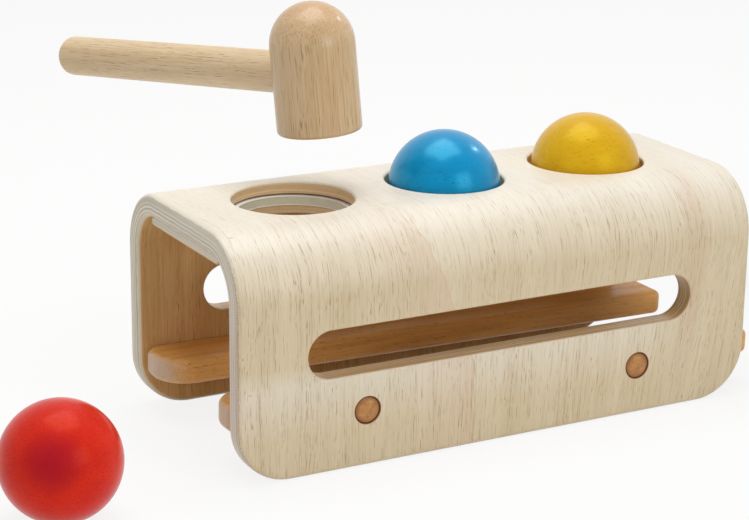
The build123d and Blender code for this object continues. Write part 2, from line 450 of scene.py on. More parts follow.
def finish_piece(piece, material, body, nodes, sharp_degrees=40):
    """Shades the piece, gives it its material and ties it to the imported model."""
    mesh = piece.data
    mesh.shade_smooth()
    mesh.set_sharp_from_angle(angle=math.radians(sharp_degrees))
    mesh.materials.clear()
    mesh.materials.append(material)
    modifier = piece.modifiers.new("weighted_normals", "WEIGHTED_NORMAL")
    modifier.keep_sharp = True
    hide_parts(*nodes)
    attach(piece, body)


# Node trees and materials


def add_node(tree, kind, *row, inputs=None, **settings):
    """Adds a node with its settings, and fills its inputs with values or links them to other outputs.

    A kind without "Node" in it is a shader node, and may end in its operation or, for a mix, its data type.
    The row goes to the inputs in use, in their order on the node, and inputs has more of them by name. It
    returns the one output in use, or else all of the outputs.
    """
    kind, _, mode = kind.partition(" ")
    node = tree.nodes.new(kind if "Node" in kind else f"ShaderNode{kind}")
    if mode:
        settings["data_type" if kind == "Mix" else "operation"] = mode
    for name, value in settings.items():
        setattr(node, name, value)
    in_use = [socket for socket in node.inputs if socket.enabled]
    named = [(node.inputs[name], value) for name, value in (inputs or {}).items()]
    for socket, value in [*zip(in_use, row), *named]:
        if isinstance(value, bpy.types.NodeSocket):
            tree.links.new(value, socket)
        else:
            socket.default_value = value
    outputs = [socket for socket in node.outputs if socket.enabled]
    return outputs[0] if len(outputs) == 1 else node.outputs


def new_group(name, kind, inputs, outputs):
    """A node group and what adds its nodes. Each socket is given as its default number, or as its type."""
    tree = bpy.data.node_groups.new(name, kind)
    for way, sockets in (("INPUT", inputs), ("OUTPUT", outputs)):
        for label, value in sockets.items():
            number = isinstance(value, float)
            socket_type = "NodeSocketFloat" if number else f"NodeSocket{value}"
            socket = tree.interface.new_socket(label, in_out=way, socket_type=socket_type)
            if number:
                socket.default_value = value
    return tree, partial(add_node, tree)


def new_material(name):
    """An empty node-based material and what adds its nodes."""
    material = bpy.data.materials.new(name)
    material.use_nodes = True
    material.node_tree.nodes.clear()
    return material, partial(add_node, material.node_tree)


# How often the wood figure's patterns come again in a millimetre, along the grain and both ways across it
SWAY_WAVES = (0.018, 0.09, 0.09)
PATCH_WAVES = (0.008, 0.07, 0.07)
ROW_WAVES = (0.012, 2.0, 2.0)
FIBRE_WAVES = (0.03, 1.3, 1.3)

# How far the grain sways and how long a growth layer runs on, in millimetres
SWAY_MM = (0.0, 5.0, 5.0)
LAYER_LENGTH_MM = 160.0

# A pore is dark up to this share of its half width and fades between these shares of its length
PORE_CORE = 0.45
PORE_TAPER = (0.28, 0.45)

# How dark the faintest and the strongest pore is
PORE_STRENGTHS = (0.12, 1.0)
FIBRE_SHARE = 0.35


def wood_figure():
    """The figure of a hardwood with open pores: vessels cut as dashes along the grain, and growth layers.

    Its point is in metres with x along the grain. The other sizes are real ones in millimetres, with half a
    pore's width. Pores are about 0.1 mm wide in rubberwood, and are drawn two to four times as wide so that
    they show in the picture. Line strength is how dark rows of crowded pores are.
    """
    found = bpy.data.node_groups.get("wood_figure")
    if found:
        return found
    inputs = {"Point": "Vector", "Pore length": 8.0, "Pore spacing": 0.8, "Pore width": 0.2}
    inputs |= {"Layer spacing": 8.0, "Line strength": 0.0}
    tree, add = new_group("wood_figure", "ShaderNodeTree", inputs, {"Pores": "Float", "Tone": "Float"})
    point, length, spacing, width, layer_spacing, line_strength = list(add("NodeGroupInput"))[:6]

    point = add("VectorMath SCALE", point, 1 / MM)
    slow = add("VectorMath MULTIPLY", point, SWAY_WAVES)
    sway = add("TexNoise", slow, 1.0, 2.5)["Color"]
    sway = add("VectorMath SUBTRACT", sway, (0.5, 0.5, 0.5))
    swayed = add("VectorMath MULTIPLY_ADD", sway, SWAY_MM, point)

    # One vessel in each stretched cell, a dash that fades at its sides and ends
    cell = add("CombineXYZ", length, spacing, spacing)
    scaled = add("VectorMath DIVIDE", swayed, cell)
    vessel = add("TexVoronoi", scaled, 1.0)
    away = add("VectorMath SUBTRACT", scaled, vessel["Position"])
    away = add("VectorMath MULTIPLY", away, cell)
    across = add("VectorMath MULTIPLY", away, (0, 1, 1))
    across = add("VectorMath LENGTH", across)
    core = add("Math MULTIPLY", width, PORE_CORE)
    lumen = add("MapRange", across, core, width, 1.0, 0.0)
    along = add("Math ABSOLUTE", add("SeparateXYZ", away)[0])
    near_end, far_end = [add("Math MULTIPLY", length, share) for share in PORE_TAPER]
    stretch = add("MapRange", along, near_end, far_end, 1.0, 0.0)
    strength = add("Math POWER", add("SeparateColor", vessel["Color"])[0], 0.95)
    strength = add("MapRange", strength, 0.0, 1.0, *PORE_STRENGTHS)

    # Pores come in patches and in rows, and run together where a row is crowded
    patch = add("VectorMath MULTIPLY", point, PATCH_WAVES)
    patch = add("TexNoise", patch, 1.0, 2.0)[0]
    patch = add("MapRange", patch, 0.36, 0.6, 0.6, 1.0)
    rows = add("VectorMath MULTIPLY", swayed, ROW_WAVES)
    rows = add("TexNoise", rows, 1.0, 1.0)[0]
    crowded = add("MapRange", rows, 0.56, 0.67, 0.0, line_strength)
    crowded = add("Math MULTIPLY", crowded, patch)
    rows = add("MapRange", rows, 0.48, 0.57, 0.1, 1.0)
    patch = add("Math MULTIPLY", patch, rows)
    pores = lumen
    for factor in (stretch, strength, patch):
        pores = add("Math MULTIPLY", pores, factor)
    pores = add("Math MAXIMUM", pores, crowded)

    # Wide growth layers with fine fibres in them
    wide = add("CombineXYZ", LAYER_LENGTH_MM, layer_spacing, layer_spacing)
    layers = add("VectorMath DIVIDE", point, wide)
    layers = add("TexNoise", layers, 1.0, 4.0, inputs={"Distortion": 0.5})[0]
    fibre = add("VectorMath MULTIPLY", point, FIBRE_WAVES)
    fibre = add("TexNoise", fibre, 1.0, 3.0)[0]
    tone = add("Mix FLOAT", FIBRE_SHARE, layers, fibre)
    tone = add("MapRange", tone, 0.36, 0.64)
    add("NodeGroupOutput", pores, tone)
    return tree


def add_wood_surface(add, colour, pores, pore_depth, **surface):
    """The shader at the end of a wood material: open pores stay a little hollow under a thin lacquer."""
    height = add("Math SUBTRACT", 1.0, pores)
    normal = add("Bump", inputs={"Strength": 0.6, "Distance": pore_depth * MM, "Height": height})
    add("OutputMaterial", add("BsdfPrincipled", inputs={"Base Color": colour, "Normal": normal, **surface}))


# Each wood's figure: its pores' length, spacing and half width and its growth layers' spacing in millimetres,
# and how dark its rows of crowded pores are. The balls' wood is drawn with short pores far apart.
FIGURES = {
    "veneer": (8.0, 0.3, 0.1, 14.0, 0.17),
    "rail": (3.2, 0.6, 0.17, 9.0, 0.1),
    "peg": (3.0, 0.6, 0.15, 4.0, 0.0),
    "head": (14.0, 0.5, 0.2, 9.0, 0.36),
    "handle": (7.0, 0.5, 0.18, 8.0, 0.18),
    "blue": (2.4, 0.8, 0.2, 5.0, 0.0),
    "yellow": (2.4, 0.8, 0.2, 5.0, 0.0),
    "red": (2.4, 0.8, 0.2, 20.0, 0.0),
}

# Each wood's finish: bare satin rails and handle, a lacquered head and pegs, and stained balls under a thin
# coat whose gloss takes on the stain
FINISHES = {
    "rail": {"Roughness": 0.36, "Specular IOR Level": 0.2},
    "peg": {"Roughness": 0.3, "Specular IOR Level": 0.4, "Coat Weight": 0.2, "Coat Roughness": 0.15},
    "head": {"Roughness": 0.4, "Specular IOR Level": 0.25, "Coat Weight": 0.5, "Coat Roughness": 0.2},
    "handle": {"Roughness": 0.45},
}
BALL_SHINES = {"blue": 0.9, "yellow": 0.4, "red": 0.2}
BALL_TINTS = {"blue": (0.12, 0.8, 1.0, 1.0), "yellow": (1.0, 1.0, 0.0, 1.0), "red": (1.0, 0.2, 0.05, 1.0)}
for ball in BALL_NAMES:
    FINISHES[ball] = {"Roughness": 0.26, "Coat Weight": 0.04, "Coat Roughness": 0.07}
    FINISHES[ball] |= {"Specular IOR Level": BALL_SHINES[ball], "Specular Tint": BALL_TINTS[ball]}

# How far a surface must face along the grain before the finish soaks in, and where that is full
SOAKED_ENDS = {"rail": (0.02, 0.7), "head": (0.02, 0.7), "red": (0.70, 0.99)}
SOAKED = 0.8

# How deep an open pore is, in millimetres
PORE_DEPTH = 0.06
BALL_PORE_DEPTH = 0.04
VENEER_PORE_DEPTH = 0.008


def solid_wood(name, colours, wood, burnt=None):
    """Turned or planed rubberwood: an even, fine texture with short open pores along the grain.

    wood is its name in the tables and the first word of its colours' names. burnt has the distances from the
    axis where a rim that the tool has burnt brown starts and is full.
    """
    material, add = new_material(name)
    light, dark, pore = [getattr(colours, f"{wood}_{part}") for part in ("light", "dark", "pore")]
    point = add("Attribute", attribute_name="grain")["Vector"]
    figure = add("Group", point, *FIGURES[wood], node_tree=wood_figure())
    layers = [(figure["Pores"], pore)]
    if wood in SOAKED_ENDS:
        across = add("Attribute", attribute_name="end_grain")["Fac"]
        soaked = add("MapRange", across, *SOAKED_ENDS[wood], 0.0, SOAKED)
        layers.insert(0, (soaked, getattr(colours, f"{wood}_end")))
    if burnt:
        away = add("Attribute", attribute_name="from_axis")["Fac"]
        layers.append((add("MapRange", away, *burnt), getattr(colours, f"{wood}_rim")))
    colour = add("Mix RGBA", figure["Tone"], light, dark)
    for amount, over in layers:
        colour = add("Mix RGBA", amount, colour, over)
    pore_depth = BALL_PORE_DEPTH if wood in BALL_NAMES else PORE_DEPTH
    add_wood_surface(add, colour, figure["Pores"], pore_depth, **FINISHES[wood])
    return material


# Depth of the plies under the outer face as shares of the sheet, and how pale each is: a thick dark core of
# end grain first, then thinner pale and dark plies in turn. The two faces have their own veneers.
PLY_SHARES = (
    (0.00, 0.25),
    (0.32, 0.35),
    (0.35, 0.95),
    (0.40, 0.85),
    (0.42, 0.20),
    (0.49, 0.30),
    (0.52, 0.90),
    (0.57, 0.80),
    (0.59, 0.15),
    (0.66, 0.30),
    (0.69, 0.90),
    (0.74, 0.80),
    (0.76, 0.10),
    (0.84, 0.30),
    (0.88, 0.95),
    (0.94, 1.00),
)

# Where the flat sheet's look changes, from one place to the next, in metres. Reach is the distance from the
# middle line of the top, and along runs to the right from the middle.
WALL_REACH = (0.043, 0.073)
OPEN_PORE_REACH = (0.030, 0.060)
HOLE_REACH = 0.030
SLANT_REACH = (0.075, 0.155)
SLANT_ALONG = (-0.02, 0.09)
SLANT = 0.012
# Painted light: a band low on the walls, left of the slots' right ends, is painted paler
PAINTED_LIGHT_TOP_REACH = (0.100, 0.108)
PAINTED_LIGHT_FOOT_REACH = (0.112, 0.132)
PAINTED_LIGHT_ALONG = (0.070, 0.100)
# Painted shade: the cut plies right of these places along, at the slots' right ends, are painted darker
SLOT_END_SHADE_ALONG = (0.087, 0.095)
END_ALONG = (0.103, 0.105)
FOOT_DEPTHS = (0.013, 0.011)

# Depths of the outer veneer in the slots and holes and at the ends, and of the inner veneer, in millimetres
BENCH_VENEERS_MM = (0.6, 1.1, 0.2)
RETAINER_VENEERS_MM = (0.3, 0.3, 0.3)

# How strong the changes over the sheet are
# How strongly the low band of the walls is painted paler, as painted light
PAINTED_LIGHT_SHARE = 0.62
PORE_WEIGHTS = (0.6, 1.35)
CUT_LEVEL, CUT_EVENNESS = 0.45, 0.7
# How dark the painted shade at the slots' right ends is
SLOT_END_SHADE = 0.3
DOT_STRENGTH = 0.35

# Fine changes at the rims, in metres: how far the plies wave and the sanded edge wanders, how far it fades,
# and where glue specks, the pocket's painted shadow, the painted highlight along the inner rim and the ring
# round a peg start and end
PLY_WAVE = 0.5 * MM
SANDED_WAVE = 0.2 * MM
EDGE_FADE = 0.15 * MM
GLUE_SPECKS = (0.05 * MM, 0.3 * MM)
POCKET_SHADOW = (0.55 * MM, 0.3 * MM)
RIM_HIGHLIGHT = (0.9 * MM, 0.7 * MM)
PEG_RING = (0.15 * MM, 0.4 * MM)


def plywood(name, colours, thickness, veneers_mm, half_across, pocket_top, pegs=(), streaks=False):
    """Rubberwood plywood, sanded and lacquered: long fine pores on its faces and striped plies at its rims.

    The attribute sheet holds each point's place along, across and under the flat sheet. Where the sheet's
    rounded rims cut through the face veneer, the plies show.
    """
    material, add = new_material(name)
    sheet = add("Attribute", attribute_name="sheet")["Vector"]
    along, across, depth = add("SeparateXYZ", sheet)

    reach = add("Math ABSOLUTE", across)
    low = add("MapRange", reach, *SLANT_REACH, 0.0, SLANT)
    rightward = add("MapRange", along, *SLANT_ALONG)
    aslant = add("Math MULTIPLY_ADD", low, rightward, along)
    grain = add("CombineXYZ", across, aslant, depth)
    figures = [add("Group", point, *FIGURES["veneer"], node_tree=wood_figure()) for point in (grain, sheet)]
    face, cross = figures

    # The outer veneer is paler on the top and darker on the walls, partly its own tone and partly painted
    # shade on the walls. A band low on the walls is painted paler again, as painted light. Its pores are
    # stronger on the walls, where a weight over 1 makes the edges of a pore as dark as its middle.
    wall_tone_and_shade = add("MapRange", reach, *WALL_REACH)
    pale = add("MapRange", reach, *PAINTED_LIGHT_TOP_REACH, 0.0, PAINTED_LIGHT_SHARE)
    for place, limits in ((reach, PAINTED_LIGHT_FOOT_REACH), (along, PAINTED_LIGHT_ALONG)):
        pale = add("Math MULTIPLY", pale, add("MapRange", place, *limits, 1.0, 0.0))
    wall_tone_and_shade = add("Math SUBTRACT", wall_tone_and_shade, pale)
    weight = add("MapRange", reach, *OPEN_PORE_REACH, *PORE_WEIGHTS)
    open_pores = add("Math MULTIPLY", face["Pores"], weight)
    veneers = []
    for ply in ("veneer", "wall", "lining"):
        light, dark = getattr(colours, f"{ply}_light"), getattr(colours, f"{ply}_dark")
        veneers.append(add("Mix RGBA", face["Tone"], light, dark))
    top_veneer, wall_veneer, inner = veneers
    layers = [(wall_tone_and_shade, wall_veneer)]
    if streaks:
        layers.append((add_heart_streaks(add, along, across), colours.veneer_pink))
        layers.append((add_marks(add, along, across), colours.veneer_pore))
    outer = top_veneer
    for amount, over in [*layers, (open_pores, colours.veneer_pore)]:
        outer = add("Mix RGBA", amount, outer, over)
    # The inner veneer's browner colour is partly its own tone and partly painted shade
    inner = add("Mix RGBA", face["Pores"], inner, colours.lining_pore)

    # Plies at the rims: bands by depth, with fine lines in them
    wavy = add("TexNoise", sheet, 110.0, 3.0)[0]
    wavy = add("MapRange", wavy, 0.0, 1.0, -PLY_WAVE, PLY_WAVE)
    wavy = add("Math ADD", depth, wavy)
    bands = add("ValToRGB", add("Math DIVIDE", wavy, thickness))
    ramp = bands[0].node.color_ramp
    for position, level in PLY_SHARES[1:-1]:
        ramp.elements.new(position)
    for element, (position, level) in zip(ramp.elements, PLY_SHARES):
        element.position = position
        element.color = (level, level, level, 1.0)
    lines = add("CombineXYZ", along, across, wavy)
    lines = add("VectorMath MULTIPLY", lines, (14, 14, 1200))
    lines = add("TexNoise", lines, 1.0, 2.0)[0]
    lines = add("MapRange", lines, 0.35, 0.65, -0.3, 0.3)
    level = add("Math ADD", bands["Color"], lines, use_clamp=True)
    # End plies cool grey and cut plies warm: partly end grain against long grain, partly painted light
    end_plies = add("Mix RGBA", level, colours.end_dark, colours.end_light)
    thin = add("Math POWER", level, 1.8)
    in_hole = add("Math LESS_THAN", reach, HOLE_REACH)
    evened = add("Math MULTIPLY", in_hole, CUT_EVENNESS)
    paler = add("Mix FLOAT", evened, thin, CUT_LEVEL)
    at_end = add("MapRange", add("Math ABSOLUTE", along), *END_ALONG)
    at_foot = add("MapRange", reach, *[half_across - inset for inset in FOOT_DEPTHS])
    at_rim = add("Math MAXIMUM", at_end, at_foot)
    shaded = add("MapRange", depth, *[pocket_top - above for above in POCKET_SHADOW], 0.0, 0.95)
    shaded = add("Math MULTIPLY", shaded, in_hole)
    # Painted shade: the cut plies towards the right, at the slots' right ends, are painted darker brown
    slot_end_shade = add("MapRange", along, *SLOT_END_SHADE_ALONG, 0.0, SLOT_END_SHADE)
    dots = add("Math MULTIPLY", cross["Pores"], DOT_STRENGTH)
    plies = add("Mix RGBA", paler, colours.cut_dark, colours.cut_light)
    brown = colours.lining_pore
    for amount, over in ((shaded, brown), (slot_end_shade, brown), (at_rim, end_plies), (dots, brown)):
        plies = add("Mix RGBA", amount, plies, over)

    # The sanded edge between veneer and plies wanders a little, and specks of glue show along it
    cut_depth, end_depth, inner_depth = [depth_mm * MM for depth_mm in veneers_mm]
    sanded = add("TexNoise", sheet, 70.0, 2.0)[0]
    sanded = add("MapRange", sanded, 0.0, 1.0, -SANDED_WAVE, SANDED_WAVE)
    uneven = add("Math ADD", depth, sanded)
    veneer = add("MapRange", at_rim, 0.0, 1.0, cut_depth, end_depth)
    below = add("Math SUBTRACT", uneven, veneer)
    under = add("MapRange", below, 0.0, EDGE_FADE)
    glue_line = add("Math ABSOLUTE", below)
    glue_line = add("MapRange", glue_line, *GLUE_SPECKS, 0.5, 0.0)
    specks = add("TexNoise", sheet, 1600.0, 1.0)[0]
    specks = add("MapRange", specks, 0.45, 0.6)
    for factor in (specks, at_rim):
        glue_line = add("Math MULTIPLY", glue_line, factor)
    lining = thickness - inner_depth
    lined = add("MapRange", depth, lining - EDGE_FADE, lining)
    # Painted highlight: a pale line along the rounded rim just above the inner veneer
    rim_highlight = add("MapRange", depth, *[lining - above for above in RIM_HIGHLIGHT], 0.0, 0.8)
    layers = [(under, plies), (glue_line, brown), (rim_highlight, colours.wall_light), (lined, inner)]
    for peg_along, peg_reach, radius in pegs:
        away = add_distance(add, (along, reach), (peg_along, peg_reach))
        ring = add("MapRange", away, *[radius + past for past in PEG_RING], 0.9, 0.0)
        layers.append((ring, colours.peg_rim))
    colour = outer
    for amount, over in layers:
        colour = add("Mix RGBA", amount, colour, over)

    gloss = add("MapRange", lined, 0.0, 1.0, 0.35, 0.15)
    coat = add("MapRange", lined, 0.0, 1.0, 0.35, 0.0)
    surface = {"Roughness": 0.45, "Specular IOR Level": gloss, "Coat Weight": coat, "Coat Roughness": 0.35}
    pores = add("Mix FLOAT", under, open_pores, dots)
    add_wood_surface(add, colour, pores, VENEER_PORE_DEPTH, **surface)
    return material


def add_distance(add, point, middle, halves=(None, None)):
    """How far a point of the sheet is from a middle, in metres or in halves of a mark's width and length."""
    parts = []
    for here, there, half in zip(point, middle, halves):
        apart = add("Math SUBTRACT", here, there)
        parts.append(add("Math DIVIDE", apart, half) if half else apart)
    return add("VectorMath LENGTH", add("CombineXYZ", *parts))


# The pink heartwood, in metres on the flat sheet: limits across it, each with what lies at them
FLAME_EDGE = (-0.0327, -0.112, -0.047, -0.0165)
FLAME_START = (-0.026, -0.062)
STREAK_MIDDLE = (-0.09, -0.148, 0.099, 0.086)
STREAK_FOOT = (-0.152, -0.10, 0.2, 1.0)
STREAK_TOP = (-0.025, -0.055)


def add_heart_streaks(add, along, across):
    """Where pink heartwood shows in the front: a flame with one crisp edge, and a straight streak.

    The flame's edge runs from the top down the front bend, and moves to the right on its way.
    """
    sway = add("TexNoise", add("CombineXYZ", along, across), 60.0, 2.0)[0]
    sway = add("MapRange", sway, 0.0, 1.0, -3 * MM, 3 * MM)
    inside = add("Math SUBTRACT", add("MapRange", across, *FLAME_EDGE), along)
    inside = add("Math ADD", inside, sway)
    fading = add("MapRange", inside, 0.0, 34 * MM, 0.3, 0.0)
    line = add("MapRange", inside, 0.5 * MM, 1.3 * MM, 0.25, 0.0)
    fading = add("Math ADD", fading, line)
    flame = add("MapRange", inside, 0.0, 0.5 * MM)
    for factor in (fading, add("MapRange", across, *FLAME_START)):
        flame = add("Math MULTIPLY", flame, factor)
    aside = add("Math SUBTRACT", along, add("MapRange", across, *STREAK_MIDDLE))
    aside = add("Math ADD", aside, sway)
    aside = add("Math ABSOLUTE", aside)
    streak = add("MapRange", aside, 0.5 * MM, 6 * MM, 0.3, 0.0)
    for limits in (STREAK_FOOT, STREAK_TOP):
        streak = add("Math MULTIPLY", streak, add("MapRange", across, *limits))
    return add("Math MAXIMUM", flame, streak)


# Small brown marks in the front of the veneer: place along and across the sheet, length across it and width,
# all in millimetres, and strength.
VENEER_MARKS = (
    (-122.2, -39.1, 1.2, 2.2, 0.35),
    (-125.8, -92.8, 1.1, 0.8, 0.5),
    (-125.0, -107.1, 2.4, 0.5, 0.5),
    (-122.8, -108.7, 0.6, 2.0, 0.5),
    (43.3, -119.3, 1.1, 0.8, 0.4),
    (105.8, -134.2, 0.7, 0.7, 0.6),
    (94.0, -145.5, 2.6, 1.0, 0.45),
)


def add_marks(add, along, across):
    """Where a small mark shows in the front of the veneer."""
    marks = 0.0
    for mark_along, mark_across, length, width, strength in VENEER_MARKS:
        halves = (width / 2 * MM, length / 2 * MM)
        away = add_distance(add, (along, across), (mark_along * MM, mark_across * MM), halves)
        mark = add("MapRange", away, 0.4, 1.2, strength, 0.0)
        marks = add("Math MAXIMUM", mark, marks)
    return marks


def moulded_rubber(name, colour, middle, half_height, lip):
    """Natural rubber, moulded: matt and a little translucent, with a fine mottle, and a painted highlight on
    its lips.
    """
    material, add = new_material(name)
    point = add("TexCoord")["Object"]
    away = add("Math SUBTRACT", add("SeparateXYZ", point)[2], middle)
    away = add("Math ABSOLUTE", away)
    # Painted highlight: the lips are mixed towards white
    lip_highlight = add("MapRange", away, half_height - 1.1 * lip, half_height - lip, 0.0, 0.75)
    mottle = add("TexNoise", point, 400.0, 3.0)[0]
    darker = [channel * 0.85 for channel in colour[:3]] + [1.0]
    tint = add("Mix RGBA", mottle, colour, darker)
    tint = add("Mix RGBA", lip_highlight, tint, WHITE)
    normal = add("Bump", inputs={"Strength": 0.3, "Distance": 0.05 * MM, "Height": mottle})
    shader = add("BsdfPrincipled", inputs={"Base Color": tint, "Roughness": 0.6, "Normal": normal})
    add("OutputMaterial", shader)
    return material


# Pieces

# How far each piece's wood is moved, in metres, so that no two show the same figure
RAIL_WOOD_SHIFT = 0.31
BALL_WOOD_SHIFT, NEXT_BALL_SHIFT = 0.4, 0.23
HEAD_WOOD_SHIFT = 0.9
HANDLE_WOOD_SHIFT = 1.3


def bend_tree():
    """Geometry nodes that bend a flat sheet down at both long sides, like plywood over a former.

    The flat sheet lies in X and Y with its outer face at height zero. Each point keeps its place on the flat
    sheet as the attribute sheet: along, across and under its outer face.
    """
    inputs = {"Geometry": "Geometry", "Flat half width": 0.0, "Bend radius": 0.0, "Top height": 0.0}
    inputs["Material"] = "Material"
    tree, add = new_group("bend_ply_sheet", "GeometryNodeTree", inputs, {"Geometry": "Geometry"})
    given = add("NodeGroupInput")
    bend_radius = given["Bend radius"]
    along, across, height = add("SeparateXYZ", add("GeometryNodeInputPosition"))
    depth = add("Math MULTIPLY", height, -1.0)
    sheet = add("CombineXYZ", along, across, depth)
    stored = {"Geometry": given["Geometry"], "Name": "sheet", "Value": sheet}
    kept = add("GeometryNodeStoreNamedAttribute", inputs=stored, data_type="FLOAT_VECTOR", domain="POINT")

    reach = add("Math ABSOLUTE", across)
    side = add("Math SIGN", across)
    level = add("Math MINIMUM", reach, given["Flat half width"])
    past = add("Math SUBTRACT", reach, level)
    bend = add("Math MULTIPLY", bend_radius, QUARTER_TURN)
    in_bend = add("Math MINIMUM", past, bend)
    in_wall = add("Math SUBTRACT", past, in_bend)
    angle = add("Math DIVIDE", in_bend, bend_radius)
    sine, cosine = [add(f"Math {operation}", angle) for operation in ("SINE", "COSINE")]
    radius = add("Math SUBTRACT", bend_radius, depth)
    outward = add("Math MULTIPLY_ADD", radius, sine, level)
    outward = add("Math MULTIPLY", outward, side)
    centre = add("Math SUBTRACT", given["Top height"], bend_radius)
    upward = add("Math MULTIPLY_ADD", radius, cosine, centre)
    upward = add("Math SUBTRACT", upward, in_wall)
    bent = add("CombineXYZ", along, outward, upward)

    moved = add("GeometryNodeSetPosition", inputs={"Geometry": kept, "Position": bent})
    give_material(add, moved, given["Material"])
    return tree


def give_material(add, geometry, material):
    """The end of a geometry node tree: real geometry with its material."""
    real = add("GeometryNodeRealizeInstances", geometry)
    add("NodeGroupOutput", add("GeometryNodeSetMaterial", inputs={"Geometry": real, "Material": material}))


def run_tree(piece, tree, values):
    """Runs a geometry node tree on the piece with its named inputs, and keeps the result as a plain mesh."""
    modifier = piece.modifiers.new(tree.name, "NODES")
    modifier.node_group = tree
    for socket in tree.interface.items_tree:
        if socket.item_type == "SOCKET" and socket.in_out == "INPUT" and socket.name in values:
            modifier[socket.identifier] = values[socket.name]
    settle(piece)


def make_bench(settings):
    """The bench's body, cut as a flat sheet and then bent."""
    sizes = settings.bench
    half_length = sizes.length / 2
    flat_half = sizes.width / 2 - sizes.bend_radius
    bend = sizes.bend_radius * QUARTER_TURN
    wall = sizes.height - sizes.bend_radius
    half_across = flat_half + bend + wall

    def sheet_outline(inset):
        corner = (half_length, half_across)
        return rounded_outline([-c for c in corner], corner, [sizes.foot_radius] * 4, inset)

    bm = bmesh.new()
    add_plate(bm, sheet_outline, both_faces(rounding(sizes.rim), sizes.thickness))
    for step in range(BEND_STEPS + 1):
        across = flat_half + bend * step / BEND_STEPS
        for side in (-1, 1):
            everything = bm.verts[:] + bm.edges[:] + bm.faces[:]
            plane = {"plane_co": (0, side * across, 0), "plane_no": (0, 1, 0)}
            bmesh.ops.bisect_plane(bm, geom=everything, dist=SAME_PLACE, **plane)
    piece = new_piece("bent_ply_bench", bm)

    bm = bmesh.new()
    slot_across = flat_half + bend + (wall - sizes.slot_middle)
    slot_corner = (sizes.slot_length / 2, sizes.slot_height / 2)
    for side in (-1, 1):

        def slot_outline(inset, side=side):
            low = (-slot_corner[0], side * slot_across - slot_corner[1])
            high = (slot_corner[0], side * slot_across + slot_corner[1])
            return rounded_outline(low, high, [slot_corner[1]] * 4, inset)

        add_plate(bm, slot_outline, both_faces(flare(sizes.slot_rim), sizes.thickness))
        centres = [(x, side * (half_across - height)) for x, height in peg_places(settings.rail)]
        profile = flare(sizes.peg_hole_rim) + [(0, sizes.thickness + OVERRUN)]
        add_round_cutters(bm, centres, sizes.peg_hole_diameter, profile)
    flange = (sizes.hole_diameter - sizes.pocket_diameter) / 2
    pocket_top = sizes.thickness - sizes.pocket_depth
    pocket = [(0, pocket_top), (flange, pocket_top), (flange, sizes.thickness + OVERRUN)]
    add_round_cutters(bm, hole_centres(sizes), sizes.hole_diameter, flare(sizes.hole_rim) + pocket)
    cut(piece, new_piece("sheet_cutters", bm))

    radius = sizes.peg_hole_diameter / 2
    pegs = [(x, half_across - height, radius) for x, height in peg_places(settings.rail)]
    material = plywood(
        "bent_plywood_lacquered",
        settings.colours,
        sizes.thickness,
        BENCH_VENEERS_MM,
        half_across,
        pocket_top,
        pegs,
        streaks=True,
    )
    values = {
        "Flat half width": flat_half,
        "Bend radius": sizes.bend_radius,
        "Top height": sizes.height,
        "Material": material,
    }
    run_tree(piece, bend_tree(), values)
    finish_piece(piece, material, "bench", ["bench_body"])


def hole_centres(bench):
    """Middles of the three ball holes, along and across the top."""
    return [(side * bench.hole_spacing, 0) for side in HOLE_SIDES.values()]


def add_round_cutters(bm, centres, diameter, profile):
    """Round cutters of one diameter and profile at several places."""
    for centre in centres:
        add_plate(bm, partial(round_outline, centre, diameter / 2), profile)


def peg_places(rail):
    """Where the pegs' axes cross the walls: along the bench and up."""
    high = rail.middle + rail.peg_rise + rail.peg_fall / 2
    low = rail.middle + rail.peg_rise - rail.peg_fall / 2
    return [(-rail.peg_spacing / 2, high), (rail.peg_spacing / 2, low)]


def make_retainer(settings):
    """The board under the top, with rounded long edges and three holes."""
    sizes, bench = settings.retainer, settings.bench
    top = bench.height - bench.thickness
    half_width, half_flat = sizes.width / 2, sizes.flat_width / 2
    outermost = math.degrees(math.acos((half_width - half_flat) / sizes.edge_radius))
    right = arc((half_width - sizes.rim, sizes.rim - sizes.thickness), sizes.rim, -90, 0)
    right += arc((half_flat, -sizes.edge_radius), sizes.edge_radius, outermost, 90)
    outline = right + [(-y, z) for y, z in reversed(right)]
    bm = bmesh.new()
    add_loft(bm, [[(end * sizes.length / 2, y, top + z) for y, z in outline] for end in (-1, 1)])
    piece = new_piece("retainer_ply_board", bm)
    bm = bmesh.new()
    profile = [(0, -top - OVERRUN), (0, sizes.thickness - top + OVERRUN)]
    add_round_cutters(bm, hole_centres(bench), sizes.hole_diameter, profile)
    cut(piece, new_piece("retainer_cutters", bm))

    values = []
    for vertex in piece.data.vertices:
        values.extend((vertex.co.x, vertex.co.y, top - vertex.co.z))
    store(piece, "sheet", "FLOAT_VECTOR", values)
    board = (sizes.thickness, RETAINER_VENEERS_MM, bench.width / 2, sizes.thickness)
    material = plywood("retainer_plywood", settings.colours, *board)
    finish_piece(piece, material, "bench", ["retainer_board"])


